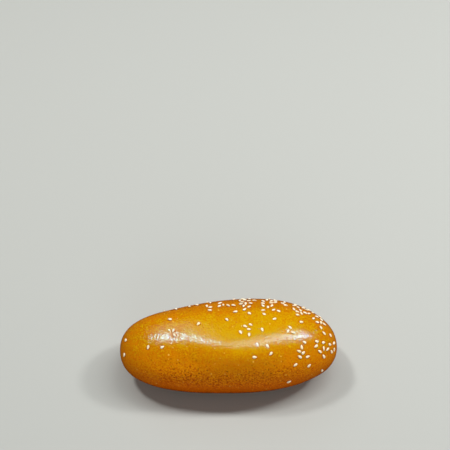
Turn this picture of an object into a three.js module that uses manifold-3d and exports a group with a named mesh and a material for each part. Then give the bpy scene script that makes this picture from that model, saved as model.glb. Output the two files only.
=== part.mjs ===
// A hot dog bun: a long enriched roll, baked in one piece, with sesame seeds on its crust.
// Millimetres. +X runs along the bun, +Y points to its back and +Z up.
// The bun stands on its flat sole, at z = 0, and the origin is under the middle of its box.

import * as THREE from "three";
import { mergeVertices } from "three/addons/utils/BufferGeometryUtils.js";
import Module from "manifold-3d";

// The baked roll
const BUN_LENGTH = 155;
const BUN_WIDTH = 67;
const BUN_HEIGHT = 52;
const WIDEST_HEIGHT = 23.8; // height of the widest line above the sole
const SOLE_SINK = 6; // how much lower the round underside would reach without the baking tray
const END_BLUNTNESS = 2.69; // 2 would give the ends of an ellipsoid, and more is blunter
const CROWN_SQUARENESS = 2.15; // 2 is a round cross-section, here above the widest line
const UNDERSIDE_SQUARENESS = 2.5; // and here below it
const TAPER = 0.041; // how much slimmer the +X end is than the middle, and how much fatter the other
const BOW = 2.3; // how far the middle bows to the back
const CROWN_LEAN = 0.2; // how far the crown's fullest part sits towards +X
const BACK_LEAN = 0.25; // the same for the back
const FRONT_LEAN = 0.11; // the same for the front
const SLUMP = 12.2; // how far the ridge of the crown slumped to the front in the oven
const SLUMP_MIDDLE = 0.13; // where it slumped most, as a share of half the length
const SLUMP_REACH = 0.39; // how far from there, as the same share, the slump dies away
const SLUMP_EDGE = 2.85; // 2 dies away like a bell, and more is flatter in the middle
const SLUMP_SHARPNESS = 4; // more keeps the slump closer to the ridge, and off the sides
const CELLS_ALONG = 30;
const CELLS_ACROSS = 14;

// The sesame seeds
const SEED_LENGTH = 3.1;
const SEED_WIDTH = 1.9;
const SEED_THICKNESS = 0.9;
const SEED_SIDES = 8;
const SEED_RINGS = 5;
const SEED_BELLY = 0.8; // under 1 puts the widest place nearer the round end than the tip
const SEED_GAP = 0.15; // air between a seed and the crust, so that the two solids stay apart
const SEED_SPACING = 3.4; // least distance between the middles of two seeds
const SPREAD_GROWTH = 0.02; // how much wider a sprinkle grows after each seed that it tries
const LAST_SHARE = 0.985; // how near the bun's end a seed may lie, as a share of half its length
const SEED_TILT = THREE.MathUtils.degToRad(6);
const SCATTER_START = 20261;

// Where the seeds fell. Each sprinkle lies at a distance along the bun from its middle and at an
// angle round it, in degrees from the front (0) over the crown (90) to the back (180).
// Spread is its radius and count its number of seeds.
const SPRINKLES = [
  { along: -74, round: 54, spread: 0, count: 1 },
  { along: -73, round: 98, spread: 0, count: 1 },
  { along: -56, round: 70, spread: 0, count: 1 },
  { along: -46, round: 69, spread: 0, count: 1 },
  { along: -38, round: 88, spread: 2, count: 2 },
  { along: -41, round: 113, spread: 0, count: 1 },
  { along: -22, round: 145, spread: 0, count: 1 },
  { along: -21, round: 104, spread: 0, count: 1 },
  { along: -14, round: 130, spread: 3, count: 2 },
  { along: -6, round: 134, spread: 0, count: 1 },
  { along: -1, round: 115, spread: 0, count: 1 },
  { along: 2, round: 135, spread: 2, count: 2 },
  { along: 5, round: 124, spread: 0, count: 1 },
  { along: 8, round: 101, spread: 0, count: 1 },
  { along: 13, round: 103, spread: 3, count: 4 },
  { along: 15, round: 121, spread: 0, count: 1 },
  { along: 16, round: 133, spread: 2, count: 2 },
  { along: 17, round: 63, spread: 0, count: 1 },
  { along: 19, round: 84, spread: 0, count: 1 },
  { along: 23, round: 101, spread: 0, count: 1 },
  { along: 26, round: 122, spread: 2, count: 2 },
  { along: 26, round: 78, spread: 0, count: 1 },
  { along: 28, round: 64, spread: 0, count: 1 },
  { along: 32, round: 110, spread: 0, count: 1 },
  { along: 34, round: 122, spread: 2, count: 2 },
  { along: 34, round: 138, spread: 0, count: 1 },
  { along: 40, round: 136, spread: 2, count: 2 },
  { along: 42, round: 92, spread: 3, count: 3 },
  { along: 45, round: 38, spread: 0, count: 1 },
  { along: 50, round: 54, spread: 1, count: 3 },
  { along: 50, round: 64, spread: 1, count: 2 },
  { along: 49, round: 114, spread: 0, count: 1 },
  { along: 51, round: 102, spread: 0, count: 1 },
  { along: 53, round: 124, spread: 2, count: 2 },
  { along: 54, round: 48, spread: 0, count: 1 },
  { along: 55, round: 32, spread: 0, count: 1 },
  { along: 61, round: 70, spread: 1, count: 2 },
  { along: 63, round: 54, spread: 0, count: 1 },
  { along: 66, round: 59, spread: 1, count: 2 },
  { along: 66, round: 71, spread: 0, count: 1 },
  { along: 66, round: 43, spread: 0, count: 1 },
];

const wasm = await Module();
wasm.setup();

const CRUST = new THREE.MeshStandardMaterial({ color: 0xc98310, roughness: 0.35, metalness: 0 });
const SEED_HULL = new THREE.MeshStandardMaterial({ color: 0xf0dfb8, roughness: 0.5, metalness: 0 });

// A three.js geometry as a manifold-3d solid.
function solidFrom(geometry) {
  const bare = geometry.clone();
  bare.deleteAttribute("normal");
  bare.deleteAttribute("uv");
  const merged = mergeVertices(bare);
  return new wasm.Manifold(
    new wasm.Mesh({
      numProp: 3,
      vertProperties: new Float32Array(merged.attributes.position.array),
      triVerts: new Uint32Array(merged.index.array),
    }),
  );
}

// And back again.
function geometryFrom(solid) {
  const mesh = solid.getMesh();
  const geometry = new THREE.BufferGeometry();
  geometry.setAttribute("position", new THREE.BufferAttribute(mesh.vertProperties, 3));
  geometry.setIndex(new THREE.BufferAttribute(mesh.triVerts, 1));
  geometry.computeVertexNormals();
  return geometry;
}

// A point on the roll, before the tray flattens its sole.
// share runs from -1 at one end to 1 at the other, and angle goes round as in SPRINKLES, in radians.
function crustPoint(share, angle) {
  const across = -Math.cos(angle);
  const up = Math.sin(angle);
  const squareness = up > 0 ? CROWN_SQUARENESS : UNDERSIDE_SQUARENESS;
  const sum = Math.abs(across) ** squareness + Math.abs(up) ** squareness;
  const ring = (1 - share ** 2) ** (1 / END_BLUNTNESS) * (1 - TAPER * share) * sum ** (-1 / squareness);
  const skew = share * (1 - share ** 2);
  const sideLean = across > 0 ? BACK_LEAN : FRONT_LEAN;
  const rise = (BUN_HEIGHT - WIDEST_HEIGHT) * (1 + CROWN_LEAN * skew);
  const drop = WIDEST_HEIGHT + SOLE_SINK;
  const slumpFade = Math.exp(-(Math.abs((share - SLUMP_MIDDLE) / SLUMP_REACH) ** SLUMP_EDGE));
  const slump = SLUMP * slumpFade * Math.max(up, 0) ** SLUMP_SHARPNESS;
  return new THREE.Vector3(
    (BUN_LENGTH / 2) * share,
    (BUN_WIDTH / 2) * ring * across * (1 + sideLean * skew) + (BOW - slump) * (1 - share ** 2),
    WIDEST_HEIGHT + ring * up * (up > 0 ? rise : drop),
  );
}

// The direction that the crust faces at a point.
function crustNormal(share, angle) {
  const step = 1e-3;
  const along = crustPoint(share + step, angle).sub(crustPoint(share - step, angle));
  const round = crustPoint(share, angle + step).sub(crustPoint(share, angle - step));
  return along.cross(round).normalize();
}

// A box whose faces are blown up to a ball, and the ball stretched to the roll's shape.
function rollGeometry() {
  const geometry = new THREE.BoxGeometry(2, 2, 2, CELLS_ALONG, CELLS_ACROSS, CELLS_ACROSS);
  const position = geometry.attributes.position;
  const corner = new THREE.Vector3();
  for (let i = 0; i < position.count; i += 1) {
    corner.fromBufferAttribute(position, i);
    const [x, y, z] = corner.toArray().map((value) => Math.tan((value * Math.PI) / 4));
    const direction = new THREE.Vector3(x, y, z).normalize();
    const share = THREE.MathUtils.clamp(direction.x, -1, 1);
    const point = crustPoint(share, Math.atan2(direction.z, -direction.y));
    position.setXYZ(i, point.x, point.y, point.z);
  }
  return geometry;
}

// The roll with the flat sole that the baking tray gives it.
function bun() {
  const roll = solidFrom(rollGeometry());
  const aboveTray = new THREE.BoxGeometry(2 * BUN_LENGTH, 2 * BUN_WIDTH, 2 * BUN_HEIGHT);
  aboveTray.translate(0, 0, BUN_HEIGHT);
  const mesh = new THREE.Mesh(geometryFrom(roll.intersect(solidFrom(aboveTray))), CRUST);
  mesh.name = "bun";
  return mesh;
}

// A hulled sesame seed: a flattened drop, its length along X and its thickness along Z.
function seedGeometry() {
  const profile = [];
  for (let i = 0; i <= SEED_RINGS; i += 1) {
    const share = i / SEED_RINGS;
    const radius = (SEED_WIDTH / 2) * Math.sin(Math.PI * share ** SEED_BELLY);
    const onAxis = i === 0 || i === SEED_RINGS;
    profile.push(new THREE.Vector2(onAxis ? 0 : radius, SEED_LENGTH * (share - 0.5)));
  }
  const geometry = new THREE.LatheGeometry(profile, SEED_SIDES);
  geometry.rotateZ(-Math.PI / 2);
  geometry.scale(1, 1, SEED_THICKNESS / SEED_WIDTH);
  return geometry;
}

// Numbers from 0 to 1 that look random and are the same in each run.
function makeRandom(start) {
  let state = start;
  return () => {
    state = (Math.imul(state, 1664525) + 1013904223) >>> 0;
    return state / 2 ** 32;
  };
}

// One seed's middle and turn: it lies on the crust at a random heading, with a slight tilt.
function seedPlace(share, angle, random) {
  const normal = crustNormal(share, angle);
  const middle = crustPoint(share, angle).addScaledVector(normal, SEED_THICKNESS / 2 + SEED_GAP);
  const lie = new THREE.Quaternion().setFromUnitVectors(new THREE.Vector3(0, 0, 1), normal);
  const tilt = SEED_TILT * (2 * random() - 1);
  const turn = new THREE.Quaternion().setFromEuler(new THREE.Euler(0, tilt, 2 * Math.PI * random(), "ZYX"));
  return { middle, turn: lie.multiply(turn) };
}

// The places of all seeds, each clear of those before it. A sprinkle with no room left grows a little.
function seedPlaces(random) {
  const places = [];
  const girthRadius = (BUN_WIDTH + BUN_HEIGHT) / 4;
  for (const sprinkle of SPRINKLES) {
    let left = sprinkle.count;
    for (let spread = sprinkle.spread; left > 0; spread += SPREAD_GROWTH) {
      const reach = spread * Math.sqrt(random());
      const heading = 2 * Math.PI * random();
      const share = Math.min((sprinkle.along + reach * Math.cos(heading)) / (BUN_LENGTH / 2), LAST_SHARE);
      const radius = girthRadius * (1 - share ** 2) ** (1 / END_BLUNTNESS);
      const angle = THREE.MathUtils.degToRad(sprinkle.round) + (reach * Math.sin(heading)) / radius;
      const place = seedPlace(share, angle, random);
      if (places.every((other) => other.middle.distanceTo(place.middle) > SEED_SPACING)) {
        places.push(place);
        left -= 1;
      }
    }
  }
  return places;
}

function seeds() {
  const geometry = seedGeometry();
  return seedPlaces(makeRandom(SCATTER_START)).map((place, index) => {
    const seed = new THREE.Mesh(geometry, SEED_HULL);
    seed.name = `sesame_seed_${String(index + 1).padStart(2, "0")}`;
    seed.position.copy(place.middle);
    seed.quaternion.copy(place.turn);
    return seed;
  });
}

const hotDogBun = new THREE.Group();
hotDogBun.add(bun(), ...seeds());

const box = new THREE.Box3().setFromObject(hotDogBun, true);
const middle = box.getCenter(new THREE.Vector3());
hotDogBun.position.set(-middle.x, -middle.y, -box.min.z);

export default hotDogBun;
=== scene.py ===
# %% [markdown]
# # A sesame hot dog bun
#
# A hot dog bun is one long roll of enriched dough. It is proved and baked on a flat tray,
# brushed with egg before it goes in and sprinkled with hulled sesame seeds.
#
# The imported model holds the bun's size and the places of many of its seeds.
# This lesson gives the roll a skin that looks baked, then sets the seeds into the glaze.

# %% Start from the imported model
import math
import random

import bmesh
import bpy
from mathutils import Matrix, Vector, kdtree, noise
from mathutils.bvhtree import BVHTree


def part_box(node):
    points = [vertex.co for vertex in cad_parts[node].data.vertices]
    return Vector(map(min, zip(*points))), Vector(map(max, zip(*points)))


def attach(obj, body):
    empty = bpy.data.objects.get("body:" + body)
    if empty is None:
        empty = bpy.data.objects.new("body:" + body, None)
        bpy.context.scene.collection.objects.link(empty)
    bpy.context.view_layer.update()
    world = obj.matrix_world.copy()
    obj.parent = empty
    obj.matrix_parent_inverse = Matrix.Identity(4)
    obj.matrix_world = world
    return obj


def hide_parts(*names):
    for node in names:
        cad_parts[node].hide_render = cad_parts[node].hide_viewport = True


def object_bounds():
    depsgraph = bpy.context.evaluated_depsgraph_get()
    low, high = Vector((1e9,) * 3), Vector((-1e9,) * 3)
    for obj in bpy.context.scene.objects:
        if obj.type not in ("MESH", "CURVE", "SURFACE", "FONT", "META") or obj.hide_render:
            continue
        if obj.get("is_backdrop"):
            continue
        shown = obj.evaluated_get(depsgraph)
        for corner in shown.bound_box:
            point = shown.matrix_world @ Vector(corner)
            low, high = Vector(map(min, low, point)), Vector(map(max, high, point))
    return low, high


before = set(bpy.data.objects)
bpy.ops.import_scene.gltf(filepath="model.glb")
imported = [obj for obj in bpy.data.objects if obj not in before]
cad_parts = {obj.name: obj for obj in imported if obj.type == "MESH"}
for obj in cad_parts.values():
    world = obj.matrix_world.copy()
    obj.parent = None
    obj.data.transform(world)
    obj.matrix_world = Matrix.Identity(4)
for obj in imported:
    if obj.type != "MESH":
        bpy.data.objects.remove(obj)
cad_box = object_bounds()
MM = 0.001
bun_low, bun_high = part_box("bun")
bun_middle = (bun_low + bun_high) / 2
print("bun, mm:", [round(side / MM, 1) for side in bun_high - bun_low])

# %% [markdown]
# ## The camera
#
# The bun lies low in the camera's view and is seen from above, so the camera aims past it, at a
# point behind it and above it. A lens a little longer than normal keeps the near end from swelling.

# %% The camera
CAMERA_HEADING = math.radians(1.7)
CAMERA_ELEVATION = math.radians(55)
CAMERA_DISTANCE = 0.587
CAMERA_LENS = 65.6
CAMERA_SENSOR = 36
NEAREST_SEEN = 0.01
AIM_ABOVE_BUN = 0.088
AIM_LEFT_OF_BUN = 0.0026
WIDEST_HEIGHT = 0.0238
BOW_TO_FRONT = 0.0026

looking = Vector((
    math.sin(CAMERA_HEADING) * math.cos(CAMERA_ELEVATION),
    math.cos(CAMERA_HEADING) * math.cos(CAMERA_ELEVATION),
    -math.sin(CAMERA_ELEVATION),
))
turn = looking.to_track_quat("-Z", "Y")
picture_right = turn @ Vector((1, 0, 0))
picture_up = turn @ Vector((0, 1, 0))
widest_middle = Vector((bun_middle.x, bun_middle.y - BOW_TO_FRONT, WIDEST_HEIGHT))
aim = widest_middle + AIM_ABOVE_BUN * picture_up - AIM_LEFT_OF_BUN * picture_right

camera = bpy.data.objects.new("camera", bpy.data.cameras.new("camera"))
camera.data.lens = CAMERA_LENS
camera.data.sensor_width = CAMERA_SENSOR
camera.data.clip_start = NEAREST_SEEN
camera.matrix_world = Matrix.LocRotScale(aim - CAMERA_DISTANCE * looking, turn, None)
bpy.context.scene.collection.objects.link(camera)
bpy.context.scene.camera = camera
bpy.context.scene.view_settings.view_transform = "Standard"
print("camera at", [round(value, 3) for value in camera.matrix_world.translation])

# %% [markdown]
# ## The roll
#
# A baked roll has no edge anywhere, only slow curves, so a subdivision surface suits it.
# A ball made from a cube has no poles, which would show as pinched spots in the gloss.
# Rays leave a short core line inside the roll, one for each corner of the ball, and stop at the
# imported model's crust. A light smoothing takes out that model's facets.

# %% A cage for the roll
MERGE_DISTANCE = 0.01 * MM
CELLS_ACROSS = 12
LEAST_LENGTHWAYS = 1e-4  # an edge that covers less than this along X runs across the roll
CORE_SHARE = 0.55  # the core line's length as a share of the roll's
SMOOTHING_ROUNDS = 2
SMOOTHING = 0.5

cad_roll = bmesh.new()
cad_roll.from_mesh(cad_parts["bun"].data)
bmesh.ops.remove_doubles(cad_roll, verts=cad_roll.verts, dist=MERGE_DISTANCE)
bmesh.ops.recalc_face_normals(cad_roll, faces=cad_roll.faces)
cad_crust = BVHTree.FromBMesh(cad_roll)
print("roll, cm3:", round(cad_roll.calc_volume() * 1e6))

cage = bmesh.new()
bmesh.ops.create_cube(cage, size=2)
bmesh.ops.subdivide_edges(cage, edges=cage.edges[:], cuts=CELLS_ACROSS - 1, use_grid_fill=True)
lengthways = [
    edge for edge in cage.edges
    if abs(edge.verts[0].co.x - edge.verts[1].co.x) > LEAST_LENGTHWAYS
]
bmesh.ops.subdivide_edges(cage, edges=lengthways, cuts=1)

core_half = CORE_SHARE * (bun_high.x - bun_low.x) / 2
for vert in cage.verts:
    direction = Vector([math.tan(value * math.pi / 4) for value in vert.co]).normalized()
    start = widest_middle + Vector((core_half * direction.x, 0, 0))
    vert.co = cad_crust.ray_cast(start, direction)[0]
for _ in range(SMOOTHING_ROUNDS):
    bmesh.ops.smooth_vert(
        cage, verts=cage.verts, factor=SMOOTHING, use_axis_x=True, use_axis_y=True, use_axis_z=True,
    )
bmesh.ops.recalc_face_normals(cage, faces=cage.faces)
print("cage faces:", len(cage.faces))

# %% [markdown]
# ## The skin at full detail
#
# The cage is subdivided and made into plain mesh, because the next steps press the skin in and out
# by hand: an oven leaves a roll a little lumpy, and each seed sits in a shallow hollow.

# %% The skin at full detail
SKIN_LEVELS = 3


def finished_mesh(shape, name, levels):
    """A bmesh cage as a mesh, with a Subdivision Surface worked into it."""
    cage_mesh = bpy.data.meshes.new(name + "_cage")
    shape.to_mesh(cage_mesh)
    holder = bpy.data.objects.new(name + "_cage", cage_mesh)
    bpy.context.scene.collection.objects.link(holder)
    subdivision = holder.modifiers.new("subdivision", "SUBSURF")
    subdivision.levels = levels
    subdivision.render_levels = levels
    shown = holder.evaluated_get(bpy.context.evaluated_depsgraph_get())
    mesh = bpy.data.meshes.new_from_object(shown)
    mesh.name = name
    bpy.data.objects.remove(holder)
    return mesh


skin = finished_mesh(cage, "baked_roll", SKIN_LEVELS)
print("skin faces:", len(skin.polygons))

# %% [markdown]
# ## Back to full size
#
# Smoothing and subdivision both shrink a shape, so the skin is stretched back to the packed
# model's box. The stretch is small and goes by each axis alone, so the curves stay as they are.

# %% Back to full size
smooth_skin = bmesh.new()
smooth_skin.from_mesh(skin)
skin_low = Vector([min(vert.co[axis] for vert in smooth_skin.verts) for axis in range(3)])
skin_high = Vector([max(vert.co[axis] for vert in smooth_skin.verts) for axis in range(3)])
for vert in smooth_skin.verts:
    for axis in range(3):
        share = (vert.co[axis] - skin_low[axis]) / (skin_high[axis] - skin_low[axis])
        vert.co[axis] = bun_low[axis] + share * (bun_high[axis] - bun_low[axis])
smooth_skin.to_mesh(skin)
smooth_crust = BVHTree.FromBMesh(smooth_skin)
stretch = (bun_high - bun_low) - (skin_high - skin_low)
print("stretched, mm:", [round(value / MM, 2) for value in stretch])

# %% [markdown]
# ## Where the seeds lie
#
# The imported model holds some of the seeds, each as a small drop. Its tip gives the heading and
# the crust under it gives the way up. The rest are sprinkled the same way as on the real bun:
# most fell on the far shoulder, some in clumps, and a few strays on the near side.

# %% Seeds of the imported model
seed_nodes = sorted(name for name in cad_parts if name.startswith("sesame_seed_"))


def seat(point, heading):
    """A frame on the crust near a point: X along the seed, Z out of the crust."""
    foot, normal = smooth_crust.find_nearest(point)[:2]
    along = (heading - heading.dot(normal) * normal).normalized()
    across = normal.cross(along)
    turned = Matrix((along, across, normal)).transposed().to_4x4()
    return Matrix.Translation(foot) @ turned


def seat_of(node_name):
    """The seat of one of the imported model's seeds, its tip towards X."""
    corners = [vert.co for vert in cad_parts[node_name].data.vertices]
    middle = sum(corners, Vector()) / len(corners)
    tip = max(corners, key=lambda corner: (corner - middle).length)
    return seat(middle, tip - middle)


seats = {name: seat_of(name) for name in seed_nodes}
print("seeds of the packed model:", len(seats))

# %% More seeds, sprinkled
# Each sprinkle is the distance along the bun from its middle and the angle round it, from the
# front (0) over the crown (90) to the back (180), then its spread in millimetres and its count.
SPRINKLES = [
    (50, 136, 8, 9),
    (30, 140, 7, 8),
    (14, 146, 6, 8),
    (13, 131, 3, 4),
    (64, 128, 6, 6),
    (-8, 140, 8, 1),
    (60, 165, 10, 10),
    (35, 172, 14, 14),
    (0, 170, 16, 10),
    (-35, 160, 14, 4),
    (-37, 149, 0, 1),
    (73, 66, 3, 2),
    (73, 40, 4, 2),
    (65, 3, 0, 1),
    (41, 5, 0, 1),
    (68, 100, 5, 3),
]
GIRTH_RADIUS = 30  # in mm: it turns a distance round the bun into an angle
FARTHEST_ALONG = 75
TRIES_FOR_EACH = 40
SEED_SPACING = 2.6 * MM
SCATTER_START = 31

scatter = random.Random(SCATTER_START)


def crust_spot(along, round_bun):
    """The point of the crust at a distance along the bun and an angle round it."""
    start = widest_middle + Vector((along, 0, 0))
    outwards = Vector((0, -math.cos(round_bun), math.sin(round_bun)))
    return smooth_crust.ray_cast(start, outwards)[0]


def sprinkled_seats(taken):
    """Seats for the sprinkled seeds, clear of those in taken."""
    found = []
    for along, round_bun, spread, count in SPRINKLES:
        tries = 0
        left = count
        while left > 0 and tries < TRIES_FOR_EACH * count:
            tries += 1
            reach = spread * math.sqrt(scatter.random())
            heading = math.tau * scatter.random()
            turned = math.radians(round_bun) + reach * math.sin(heading) / GIRTH_RADIUS
            spot = crust_spot(min(along + reach * math.cos(heading), FARTHEST_ALONG) * MM, turned)
            heading = Vector([scatter.uniform(-1, 1) for _ in range(3)])
            near = min((spot - other.translation).length for other in taken + found)
            if near > SEED_SPACING:
                found.append(seat(spot, heading))
                left -= 1
    return found


loose_seats = sprinkled_seats(list(seats.values()))
print("sprinkled seeds:", len(loose_seats))

# %% [markdown]
# ## Lumps, hollows and sole
#
# Dough is never quite even: the oven leaves long, low waves and smaller ones on them.
# The glaze pools round each seed and the seed sinks into it, so the skin dips there.
# The sole takes the flatness of the tray, with shallow hollows where air was trapped.

# %% Lumps, hollows and sole
WAVE_SIZES = {32: 0.45, 11: 0.12, 4.5: 0.045}  # how far apart waves are: how high they are, in mm
SEED_HOLLOW = 0.28 * MM
SEED_HOLLOW_REACH = 2.4 * MM
SOLE_HOLLOW = 0.9 * MM
SOLE_HOLLOW_SIZE = 14 * MM
SOLE_HOLLOW_START = Vector((7, 3, 1))  # sets these hollows apart from the waves of the crust
SOLE_EDGE = 0.6 * MM

all_seats = list(seats.values()) + loose_seats
seed_finder = kdtree.KDTree(len(all_seats))
for number, one_seat in enumerate(all_seats):
    seed_finder.insert(one_seat.translation, number)
seed_finder.balance()


def shape_skin(mesh):
    """Moves the skin for waves, seeds' hollows and the sole, and marks how near a seed is."""
    normals = [vert.normal.copy() for vert in mesh.vertices]
    nearness = mesh.attributes.new("seed_nearness", "FLOAT", "POINT")
    for vert, normal, near in zip(mesh.vertices, normals, nearness.data):
        place = vert.co.copy()
        waves = sum(high * noise.noise(place / (apart * MM)) for apart, high in WAVE_SIZES.items())
        distance = seed_finder.find(place)[2]
        share = max(0, 1 - distance / SEED_HOLLOW_REACH)
        near.value = share ** 2 * (3 - 2 * share)
        vert.co = place + normal * (waves * MM - SEED_HOLLOW * near.value)
        if place.z < SOLE_EDGE:
            vert.co.z = SOLE_HOLLOW * noise.noise(place / SOLE_HOLLOW_SIZE + SOLE_HOLLOW_START)
        vert.co.z = max(0, vert.co.z)


shape_skin(skin)
skin.shade_smooth()
bun = bpy.data.objects.new("baked_roll", skin)
bpy.context.scene.collection.objects.link(bun)
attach(bun, "root")
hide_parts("bun")
print("corners moved:", len(skin.vertices))

# %% [markdown]
# ## Helpers for materials
#
# Colours are written as the hex values that a colour picker shows, and Blender wants them linear.
# One function adds any node, sets it up and wires it.


# %% Helpers for materials
def linear(hex_colour):
    """A colour such as "c98310" as linear red, green, blue and alpha."""
    channels = [int(hex_colour[i:i + 2], 16) / 255 for i in (0, 2, 4)]
    return [c / 12.92 if c <= 0.04045 else ((c + 0.055) / 1.055) ** 2.4 for c in channels] + [1]


def add_node(material, kind, settings=(), inputs=(), stops=()):
    """Adds a node, sets its properties, fills or links its inputs, and gives a ramp its stops."""
    tree = material.node_tree
    node = tree.nodes.new(kind)
    for name, value in dict(settings).items():
        setattr(node, name, value)
    for socket, source in dict(inputs).items():
        if isinstance(source, bpy.types.NodeSocket):
            tree.links.new(source, node.inputs[socket])
        else:
            node.inputs[socket].default_value = source
    for place, (position, colour) in enumerate(stops):
        ramp = node.color_ramp.elements
        stop = ramp[place] if place < 2 else ramp.new(position)
        stop.position = position
        stop.color = colour
    return node


def new_material(name):
    """An empty node material, and its output node."""
    material = bpy.data.materials.new(name)
    material.use_nodes = True
    material.node_tree.nodes.clear()
    return material, add_node(material, "ShaderNodeOutputMaterial")


# %% [markdown]
# ## Chains of nodes
#
# Baking leaves many marks that add up, so a crust is built the way a glaze is: in layers, each
# with a share of its own. Three helpers make the chains that this takes: the product of some
# values, their sum, and a colour under any number of layers.


# %% Chains of nodes
def product_of(material, *factors):
    """The product of values."""
    total = 1
    for value in factors:
        times = add_node(
            material, "ShaderNodeMath", {"operation": "MULTIPLY"}, {0: value, 1: total},
        )
        total = times.outputs[0]
    return total


def sum_of(material, *terms):
    """The sum of values, each of them given with what it is multiplied by."""
    total = 0
    for value, weight in terms:
        plus = add_node(
            material, "ShaderNodeMath", {"operation": "MULTIPLY_ADD"},
            {0: value, 1: weight, 2: total},
        )
        total = plus.outputs[0]
    return total


def layered(material, colour, *layers):
    """A colour under layers, each given as its share, its colour and how it blends."""
    for share, layer, blend_type in layers:
        mix = add_node(
            material, "ShaderNodeMix", {"data_type": "RGBA", "blend_type": blend_type},
            {"Factor": share, 6: colour, 7: layer},
        )
        colour = mix.outputs[2]
    return colour


# %% [markdown]
# ## What the crust's look follows
#
# An oven browns a bun by rules: it follows how high a place is, how far from the axis and how near
# an end, and the small blotches, grains, pinholes and blisters of the skin. Painted shade darkens
# the ends low down, the back shoulder and the left. The look could be painted by hand, but the
# rules are few, so each becomes a value with a name, and colour and gloss use them.
# The rules give places as shares of the bun's own size, so that they hold for one of any size.

# %% What the crust's look follows
BUN_REACH = {  # how far right, back and up the bun reaches from its middle and its sole
    "right": bun_high.x,
    "from_middle": bun_high.x,
    "back": bun_high.y,
    "from_axis": bun_high.y,
    "up": bun_high.z,
}
SKIN_NOISES = {  # how large the blotches are, and how much detail they hold
    "mottle": (8 * MM, 4),
    "grain": (1.2 * MM, 3),
    "peel": (1.5 * MM, 1),
}
NOISE_ROUGHNESS = 0.6
SKIN_SPOTS = {  # how far apart, the largest radius, and the share of places left without one
    "pores": (1.9 * MM, 0.9 * MM, 0.1),
    "blisters": (3.2 * MM, 0.8 * MM, 0.6),
}
SPOT_EDGE = 0.35  # how much of a spot's radius its soft edge takes


def bun_places(material, place):
    """How far right, back and up a place is, and how far from the middle and from the axis."""
    parts = add_node(material, "ShaderNodeSeparateXYZ", inputs={0: place})
    places = {"right": parts.outputs["X"], "back": parts.outputs["Y"], "up": parts.outputs["Z"]}
    for name, signed in (("from_middle", "right"), ("from_axis", "back")):
        distance = add_node(
            material, "ShaderNodeMath", {"operation": "ABSOLUTE"}, {0: places[signed]},
        )
        places[name] = distance.outputs[0]
    return places


def spots(material, place, spacing, radius, empty_share):
    """1 in round spots of up to the radius and 0 between them, with none in some places."""
    cells = add_node(material, "ShaderNodeTexVoronoi", inputs={"Vector": place, "Scale": 1 / spacing})
    lot = add_node(material, "ShaderNodeSeparateColor", inputs={0: cells.outputs["Color"]})
    size = add_node(
        material, "ShaderNodeMapRange",
        inputs={"Value": lot.outputs[0], "From Min": empty_share, "To Max": radius / spacing},
    )
    inside = add_node(
        material, "ShaderNodeMath", {"operation": "SUBTRACT"},
        {0: size.outputs["Result"], 1: cells.outputs["Distance"]},
    )
    spot = add_node(
        material, "ShaderNodeMath", {"operation": "DIVIDE", "use_clamp": True},
        {0: inside.outputs[0], 1: SPOT_EDGE * radius / spacing},
    )
    return spot.outputs[0]


# %% [markdown]
# ## From one value to another
#
# Most rules of the crust say the same kind of thing: from here to there, this fades from one
# value to another. A table holds them, one line each, which is easier to read and to change than
# many nodes. Outside its range a fade keeps its end values.

# %% From one value to another
PORE_REACH = 30 * MM / bun_high.x
SOLE_TOP = 0.4 * MM / bun_high.z
GLAZE_EDGE = 2.2 * MM / bun_high.z

CRUST_FADES = {  # what it follows, from where to where, and its value at each
    # Browning: deeper off the axis, and its edges less ragged on the crown and at the foot.
    "height": ("up", 0, 1, 0, 1),
    "off_axis": ("from_axis", 0.25, 1, 0, -0.14),
    "near_the_end": ("from_middle", 0.5, 1, 0, 1),
    "ragged": ("up", 0.6, 1, 0.9, 0.25),
    "above_foot": ("up", 0.3, 0.66, 0.2, 1),
    # Grain: strongest on the sides, weaker on the crown and at the ends.
    "grain_paleness": ("grain", 0.3, 0.7, 0, 1),
    "off_the_crown": ("up", 0.7, 1, 0.92, 0.08),
    "off_the_end": ("near_the_end", 0, 1, 1, 0.4),
    # Painted shade: darker at the ends low down, on the back shoulder and, a little, on the left.
    "painted_end_shade": ("up", 0.5, 0.8, -0.22, -0.06),
    "painted_back_shade": ("back", 0.35, 0.85, 1, 0.72),
    "painted_left_shade": ("right", -1, 0, 0.97, 1),
    # Pinholes: on the sides, neither on the crown nor at the foot, and mostly near the middle.
    "below_crown": ("up", 0.92, 0.75, 0.1, 0.85),
    "above_sole": ("up", 0.42, 0.7, 0.1, 1),
    "central": ("from_middle", PORE_REACH, 2 * PORE_REACH, 1, 0.2),
    # Sole, gloss and orange peel.
    "bare": ("up", SOLE_TOP, GLAZE_EDGE, 1, 0),
    "gloss": ("grain", 0.3, 0.7, 0.07, 0.14),
    "peel_share": ("up", 0.3, 0.8, 0.35, 1),
}


def crust_values(material):
    """Every value that the crust's look follows, by name."""
    place = add_node(material, "ShaderNodeTexCoord").outputs["Object"]
    values = bun_places(material, place)
    for name, (size, detail) in SKIN_NOISES.items():
        blotches = add_node(
            material, "ShaderNodeTexNoise",
            inputs={"Vector": place, "Scale": 1 / size, "Detail": detail, "Roughness": NOISE_ROUGHNESS},
        )
        values[name] = blotches.outputs["Fac"]
    for name, (spacing, radius, empty_share) in SKIN_SPOTS.items():
        values[name] = spots(material, place, spacing, radius, empty_share)
    for name, (followed, start, end, first, last) in CRUST_FADES.items():
        whole = BUN_REACH.get(followed, 1)
        fade = add_node(
            material, "ShaderNodeMapRange",
            inputs={
                "Value": values[followed], "From Min": start * whole, "From Max": end * whole,
                "To Min": first, "To Max": last,
            },
        )
        values[name] = fade.outputs["Result"]
    return values


print("rules of the crust:", len(CRUST_FADES))
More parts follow.
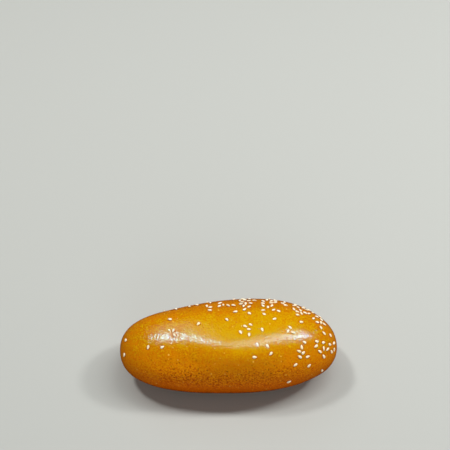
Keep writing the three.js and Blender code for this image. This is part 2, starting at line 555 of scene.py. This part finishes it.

# %% [markdown]
# ## Egg-washed crust: colour
#
# Egg wash browns as it bakes. The crown is gold, and the colour deepens down the sides to the
# brown edge that met the tray. A ramp holds these colours by height, and noise moves the height up
# and down, so that no band has an even edge. Over it lie a fine grain, painted shade at the ends,
# on the back shoulder and on the left, pinholes where gas broke through, small pale blisters, and a
# darker ring round each seed, partly glaze that pooled there and partly a painted shadow. No egg
# reached the sole, which stays greyish.

# %% Egg-washed crust: colour
CRUST_BY_HEIGHT = [
    (0.00, "9a4404"),
    (0.12, "ca5a00"),
    (0.34, "dc6a00"),
    (0.54, "e67d00"),
    (0.70, "df8300"),
    (0.84, "ca7c00"),
    (0.95, "cc9200"),
    (1.00, "cc9a00"),
]
RAMP_START = 0.15
RAMP_END = 1.15
MEAN_GRAIN = 0.5
END_BROWNING = 0.1
MOTTLE_STRENGTH = 0.3
GRAIN_DARK = (0.58, 0.26, 0.34, 1)  # what a reddish brown grain multiplies the crust by
GRAIN_PALE = (1.32, 1.74, 1.2, 1)  # and a pale gold one
PORE_COLOUR = "8c3e00"
BLISTER_COLOUR = "f6c04c"
BLISTER_STRENGTH = 0.7
# A darker ring round each seed: partly glaze that pooled there, partly a painted shadow.
POOLED_GLAZE_AND_SHADOW = "d0a070"
SOLE_COLOURS = [(0.35, "6d5440"), (0.65, "9c8571")]


def browning_by_height(material, value):
    """The crust's colour by height, with uneven edges."""
    centred_grain = sum_of(material, (value["grain"], 1), (MEAN_GRAIN, -1))
    patches = product_of(material, centred_grain, value["ragged"], value["above_foot"])
    height = sum_of(
        material, (value["height"], 1), (value["off_axis"], 1),
        (value["near_the_end"], END_BROWNING), (value["mottle"], MOTTLE_STRENGTH), (patches, 1),
    )
    on_the_ramp = add_node(
        material, "ShaderNodeMapRange",
        inputs={"Value": height, "From Min": RAMP_START, "From Max": RAMP_END},
    )
    ramp = add_node(
        material, "ShaderNodeValToRGB", inputs={"Fac": on_the_ramp.outputs["Result"]},
        stops=[(stop, linear(colour)) for stop, colour in CRUST_BY_HEIGHT],
    )
    return ramp.outputs["Color"]


def crust_colour(material, value):
    """The browned crust and all that lies over it."""
    grain = layered(material, GRAIN_DARK, (value["grain_paleness"], GRAIN_PALE, "MIX"))
    grain_share = product_of(
        material, value["off_the_crown"], value["above_foot"], value["off_the_end"],
    )
    # Painted shade: darker at the ends low down, on the back shoulder and a little on the left.
    painted_end_shade = product_of(material, value["near_the_end"], value["painted_end_shade"])
    painted_end_shade = sum_of(material, (painted_end_shade, 1), (1, 1))
    painted_shade = product_of(material, painted_end_shade, value["painted_back_shade"], value["painted_left_shade"])
    pore_share = product_of(
        material, value["pores"], value["below_crown"], value["above_sole"], value["central"],
    )
    blister_share = product_of(material, value["blisters"], BLISTER_STRENGTH)
    near_seed = add_node(material, "ShaderNodeAttribute", {"attribute_name": "seed_nearness"})
    sole = add_node(
        material, "ShaderNodeValToRGB", inputs={"Fac": value["mottle"]},
        stops=[(stop, linear(colour)) for stop, colour in SOLE_COLOURS],
    )
    return layered(
        material, browning_by_height(material, value),
        (grain_share, grain, "MULTIPLY"),
        (1, painted_shade, "MULTIPLY"),
        (pore_share, linear(PORE_COLOUR), "MIX"),
        (blister_share, linear(BLISTER_COLOUR), "MIX"),
        # Darker round each seed: pooled glaze and a painted shadow.
        (near_seed.outputs["Fac"], linear(POOLED_GLAZE_AND_SHADOW), "MULTIPLY"),
        (value["bare"], sole.outputs["Color"], "MIX"),
    )


# %% [markdown]
# ## Egg-washed crust: gloss
#
# Egg wash dries to a thin, clear, glossy skin, and a fine orange peel in it breaks the gloss up
# into small lights. A cool tint on the reflection keeps the highlights cream, where the orange
# crust under them would turn them yellow. The sole has no egg on it and stays matt.

# %% Egg-washed crust: gloss
EGG_SKIN_IOR = 1.52
EGG_SKIN_TINT = "84daf2"
SOLE_ROUGHNESS = 0.85
PEEL_DEPTH = 0.19 * MM
GRAIN_HEIGHT = 0.35  # heights as a share of the orange peel's
BLISTER_HEIGHT = 0.35
PORE_HEIGHT = -0.3


def egg_washed_crust():
    """Baked dough under egg wash: gold to brown, glossy above and matt on its sole."""
    material, output = new_material("egg_washed_crust")
    value = crust_values(material)
    roughness = add_node(
        material, "ShaderNodeMix",
        inputs={"Factor": value["bare"], 2: value["gloss"], 3: SOLE_ROUGHNESS},
    )
    skin_height = sum_of(
        material, (value["peel"], 1), (value["grain"], GRAIN_HEIGHT),
        (value["blisters"], BLISTER_HEIGHT), (value["pores"], PORE_HEIGHT),
    )
    skin_height = product_of(material, skin_height, value["peel_share"])
    bump = add_node(
        material, "ShaderNodeBump",
        inputs={"Strength": 1, "Distance": PEEL_DEPTH, "Height": skin_height},
    )
    shader = add_node(
        material, "ShaderNodeBsdfPrincipled",
        inputs={
            "Base Color": crust_colour(material, value),
            "Roughness": roughness.outputs[0],
            "IOR": EGG_SKIN_IOR,
            "Specular Tint": linear(EGG_SKIN_TINT),
            "Normal": bump.outputs["Normal"],
        },
    )
    material.node_tree.links.new(shader.outputs[0], output.inputs[0])
    return material


bun.data.materials.clear()
bun.data.materials.append(egg_washed_crust())
print("nodes in the crust:", len(bun.data.materials[0].node_tree.nodes))

# %% [markdown]
# ## Sesame seeds: shape
#
# A hulled sesame seed is a flat drop about 3 mm long. A ball pinched at one end and flattened
# gives it. No two are quite alike, so each gets its own length, width, thickness and tilt.

# %% Sesame seeds: shape
SEED_LENGTH = 3.1 * MM
SEED_WIDTH = 1.8 * MM
SEED_THICKNESS = 0.95 * MM
SIZE_SPREAD = (0.9, 1.08)
THICKNESS_SPREAD = (0.85, 1.1)
TIP_PINCH = 0.3  # how much slimmer the tip is than the middle, and how much fatter the round end
BOTH_ENDS_PINCH = 0.12
PINCHED_DROP = 0.2  # how far a slim part lies lower, as a share of the seed's thickness
SIDE_TILT = 0.12
END_TILT = 0.1
SEED_SINK = 0.12 * MM
SEED_START = 8

seed_random = random.Random(SEED_START)


def hulled_seed_shape():
    """One seed as a bmesh, on its flat side at the origin, its tip towards +X."""
    shape = bmesh.new()
    lying = Matrix.Rotation(math.pi / 2, 4, "Y")
    bmesh.ops.create_uvsphere(shape, u_segments=10, v_segments=8, radius=1, matrix=lying)
    length = SEED_LENGTH * seed_random.uniform(*SIZE_SPREAD)
    width = SEED_WIDTH * seed_random.uniform(*SIZE_SPREAD)
    thickness = SEED_THICKNESS * seed_random.uniform(*THICKNESS_SPREAD)
    for vert in shape.verts:
        share = vert.co.x
        pinch = 1 - TIP_PINCH * share - BOTH_ENDS_PINCH * share ** 2
        vert.co = Vector((
            share * length / 2,
            vert.co.y * pinch * width / 2,
            (vert.co.z + 1) * thickness / 2 - (1 - pinch) * PINCHED_DROP * thickness,
        ))
    return shape


def place_seed(shape, one_seat):
    """Sets a seed into the glaze, tilted a little."""
    tilt = Matrix.Rotation(seed_random.uniform(-SIDE_TILT, SIDE_TILT), 4, "X")
    tilt @= Matrix.Rotation(seed_random.uniform(-END_TILT, END_TILT), 4, "Y")
    sink = Matrix.Translation((0, 0, -SEED_SINK - SEED_HOLLOW))
    bmesh.ops.transform(shape, matrix=one_seat @ sink @ tilt, verts=shape.verts)


def seed_mesh(shape, name):
    """Placed seeds as a smooth mesh."""
    mesh = bpy.data.meshes.new(name)
    bmesh.ops.recalc_face_normals(shape, faces=shape.faces)
    shape.to_mesh(mesh)
    mesh.shade_smooth()
    return mesh


# %% [markdown]
# ## Hulled sesame
#
# Without its hull a sesame seed is cream, with the dull shine of a little oil. A soft noise, larger
# than a seed, makes some seeds warmer than others. Very fine fibres run over a seed; a small bump
# stands for them, coarser than they are, because the real ones are too fine to show.

# %% Hulled sesame
SESAME_COLOURS = [(0.3, "f6e2b0"), (0.6, "fdf3d6")]
SESAME_IOR = 1.47
SESAME_ROUGHNESS = 0.45
CLOUD_SIZE = 4 * MM
FIBRE_SIZE = 0.5 * MM
FIBRE_DEPTH = 0.05 * MM
FIBRE_STRENGTH = 0.25


def hulled_sesame():
    """Hulled sesame: cream, cloudy from seed to seed, with a dull shine."""
    material, output = new_material("hulled_sesame")
    place = add_node(material, "ShaderNodeTexCoord").outputs["Object"]
    cloud = add_node(
        material, "ShaderNodeTexNoise",
        inputs={"Vector": place, "Scale": 1 / CLOUD_SIZE, "Detail": 2},
    )
    colour = add_node(
        material, "ShaderNodeValToRGB", inputs={"Fac": cloud.outputs["Fac"]},
        stops=[(stop, linear(cream)) for stop, cream in SESAME_COLOURS],
    )
    fibre = add_node(
        material, "ShaderNodeTexNoise",
        inputs={"Vector": place, "Scale": 1 / FIBRE_SIZE, "Detail": 1},
    )
    bump = add_node(
        material, "ShaderNodeBump",
        inputs={"Strength": FIBRE_STRENGTH, "Distance": FIBRE_DEPTH, "Height": fibre.outputs["Fac"]},
    )
    shader = add_node(
        material, "ShaderNodeBsdfPrincipled",
        inputs={
            "Base Color": colour.outputs["Color"],
            "Roughness": SESAME_ROUGHNESS,
            "IOR": SESAME_IOR,
            "Normal": bump.outputs["Normal"],
        },
    )
    material.node_tree.links.new(shader.outputs[0], output.inputs[0])
    return material


sesame = hulled_sesame()
print("nodes in the sesame:", len(sesame.node_tree.nodes))

# %% [markdown]
# ## Seeds in the glaze
#
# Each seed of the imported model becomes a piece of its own, in that seed's place.
# The sprinkled ones are joined to one piece, because nobody needs to pick them out.

# %% Seeds in the glaze
for name, one_seat in seats.items():
    shape = hulled_seed_shape()
    place_seed(shape, one_seat)
    seed = bpy.data.objects.new(name.replace("sesame_seed", "hulled_seed"), seed_mesh(shape, name))
    bpy.context.scene.collection.objects.link(seed)
    seed.data.materials.append(sesame)
    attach(seed, "root")
    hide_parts(name)

joined = bmesh.new()
for one_seat in loose_seats:
    shape = hulled_seed_shape()
    place_seed(shape, one_seat)
    one_mesh = seed_mesh(shape, "one_seed")
    joined.from_mesh(one_mesh)
    bpy.data.meshes.remove(one_mesh)
sprinkled = bpy.data.objects.new("sprinkled_seeds", seed_mesh(joined, "sprinkled_seeds"))
bpy.context.scene.collection.objects.link(sprinkled)
sprinkled.data.materials.append(sesame)
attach(sprinkled, "root")
print("seeds placed:", len(seats) + len(loose_seats))

# %% [markdown]
# ## Floor
#
# The bun stands on a wide, pale, matt disc. A glossy crust also mirrors what it stands on, and a
# pale floor would draw a bright rim low on its sides. Buns stand close together in a basket and
# show each other brown instead, so the floor turns brown where the gloss looks at it: a painted
# reflection of buns nearby.

# %% Floor
FLOOR_RADIUS = 1.8
FLOOR_CORNERS = 96
FLOOR_COLOUR = "babcb7"
FLOOR_PAINTED_REFLECTION = "3c2a14"
FLOOR_ROUGHNESS = 0.8
FLOOR_SHINE = 0.2

floor_shape = bmesh.new()
bmesh.ops.create_circle(floor_shape, cap_ends=True, segments=FLOOR_CORNERS, radius=FLOOR_RADIUS)
floor_mesh = bpy.data.meshes.new("floor")
floor_shape.to_mesh(floor_mesh)
floor = bpy.data.objects.new("floor", floor_mesh)
bpy.context.scene.collection.objects.link(floor)

# Matt floor paint is an even pale grey with next to no shine. Where the crust's gloss looks at it, it
# is brown instead: a painted reflection.
floor_paint, floor_output = new_material("pale_floor")
gloss_looks = add_node(floor_paint, "ShaderNodeLightPath").outputs["Is Glossy Ray"]
floor_colour = layered(
    floor_paint, linear(FLOOR_COLOUR), (gloss_looks, linear(FLOOR_PAINTED_REFLECTION), "MIX"),
)
floor_shader = add_node(
    floor_paint, "ShaderNodeBsdfPrincipled",
    inputs={
        "Base Color": floor_colour,
        "Roughness": FLOOR_ROUGHNESS,
        "Specular IOR Level": FLOOR_SHINE,
    },
)
floor_paint.node_tree.links.new(floor_shader.outputs[0], floor_output.inputs[0])
floor_mesh.materials.append(floor_paint)
floor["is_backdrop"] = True
print("floor, m across:", 2 * FLOOR_RADIUS)

# %% [markdown]
# ## Air
#
# Pale air all round lifts the shadows. In the gloss it would lie over the crust as a veil, so it is
# much weaker there. Behind the floor's far edge it is stronger, so that the horizon stays plain.

# %% Air
AIR_COLOUR = "f4f3f0"
AIR_STRENGTH = 0.14
AIR_IN_THE_GLOSS = 0.03
AIR_BEHIND_ALL = 0.64

world = bpy.data.worlds.new("studio")
world.use_nodes = True
background = world.node_tree.nodes["Background"]
background.inputs["Color"].default_value = linear(AIR_COLOUR)
rays = add_node(world, "ShaderNodeLightPath")
strength = sum_of(
    world,
    (rays.outputs["Is Glossy Ray"], AIR_IN_THE_GLOSS - AIR_STRENGTH),
    (rays.outputs["Is Camera Ray"], AIR_BEHIND_ALL - AIR_STRENGTH),
    (1, AIR_STRENGTH),
)
world.node_tree.links.new(strength, background.inputs["Strength"])
bpy.context.scene.world = world
print("air, in the gloss, behind all:", AIR_STRENGTH, AIR_IN_THE_GLOSS, AIR_BEHIND_ALL)

# %% [markdown]
# ## Lights
#
# A glossy crust shows the shape of each light. A strip hangs over the bun and runs along it, in
# five panels that are not equally bright, with a gap left of the middle. It draws the long
# highlight, which bends where the crown slumped. A window panel behind to the left gives the soft
# patch above that. A low panel in front lifts the near side and is kept out of the gloss.

# %% Lights
STRIP_HEIGHT = 1.2
STRIPS = [  # where along X it starts and ends, how far behind it hangs, its width and its watts
    ("strip_left_end", -0.62, -0.46, 0.41, 0.14, 6.2),
    ("strip_left", -0.46, -0.34, 0.36, 0.15, 0.7),
    ("strip_middle", -0.22, 0.10, 0.31, 0.10, 1.2),
    ("strip_right", 0.10, 0.95, 0.35, 0.15, 7.6),
    ("strip_right_end", 0.95, 1.25, 0.36, 0.16, 11.5),
]
WINDOW_PLACE = (-0.49, 0.82, 1.14)
WINDOW_SIZE = (0.44, 0.8)
WINDOW_WATTS = 2.1
WINDOW_LEVEL = (1, 0.07, 0.36)
FILL_PLACE = (0.1, -1.2, 0.5)
FILL_SIZE = (1.2, 0.6)
FILL_WATTS = 3.9


def add_panel(name, place, towards, size, watts, level=(1, 0, 0)):
    """A soft panel at a place that faces a point, size wide and deep, its width along level."""
    light = bpy.data.lights.new(name, "AREA")
    light.shape = "RECTANGLE"
    light.size, light.size_y = size
    light.energy = watts
    back = (Vector(place) - Vector(towards)).normalized()
    side = (Vector(level) - back.dot(Vector(level)) * back).normalized()
    turned = Matrix((side, back.cross(side), back)).transposed()
    panel = bpy.data.objects.new(name, light)
    panel.matrix_world = Matrix.LocRotScale(Vector(place), turned.to_quaternion(), None)
    bpy.context.scene.collection.objects.link(panel)
    return panel


add_panel("window", WINDOW_PLACE, bun_middle, WINDOW_SIZE, WINDOW_WATTS, WINDOW_LEVEL)
for name, start, end, behind, wide, watts in STRIPS:
    middle = (start + end) / 2
    add_panel(name, (middle, behind, STRIP_HEIGHT), (middle, 0, 0), (end - start, wide), watts)
fill = add_panel("front_fill", FILL_PLACE, bun_middle, FILL_SIZE, FILL_WATTS)
fill.visible_glossy = False
print("panels of the strip:", len(STRIPS))

# %% [markdown]
# ## The size of the finished bun
#
# The seeds and the waves in the crust may not make the bun larger than the imported model, so both
# boxes are printed.

# %% The size of the finished bun
look_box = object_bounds()
for name, corners in (("packed model", cad_box), ("finished bun", look_box)):
    print(name, "box, mm:", [[round(value / MM, 1) for value in corner] for corner in corners])
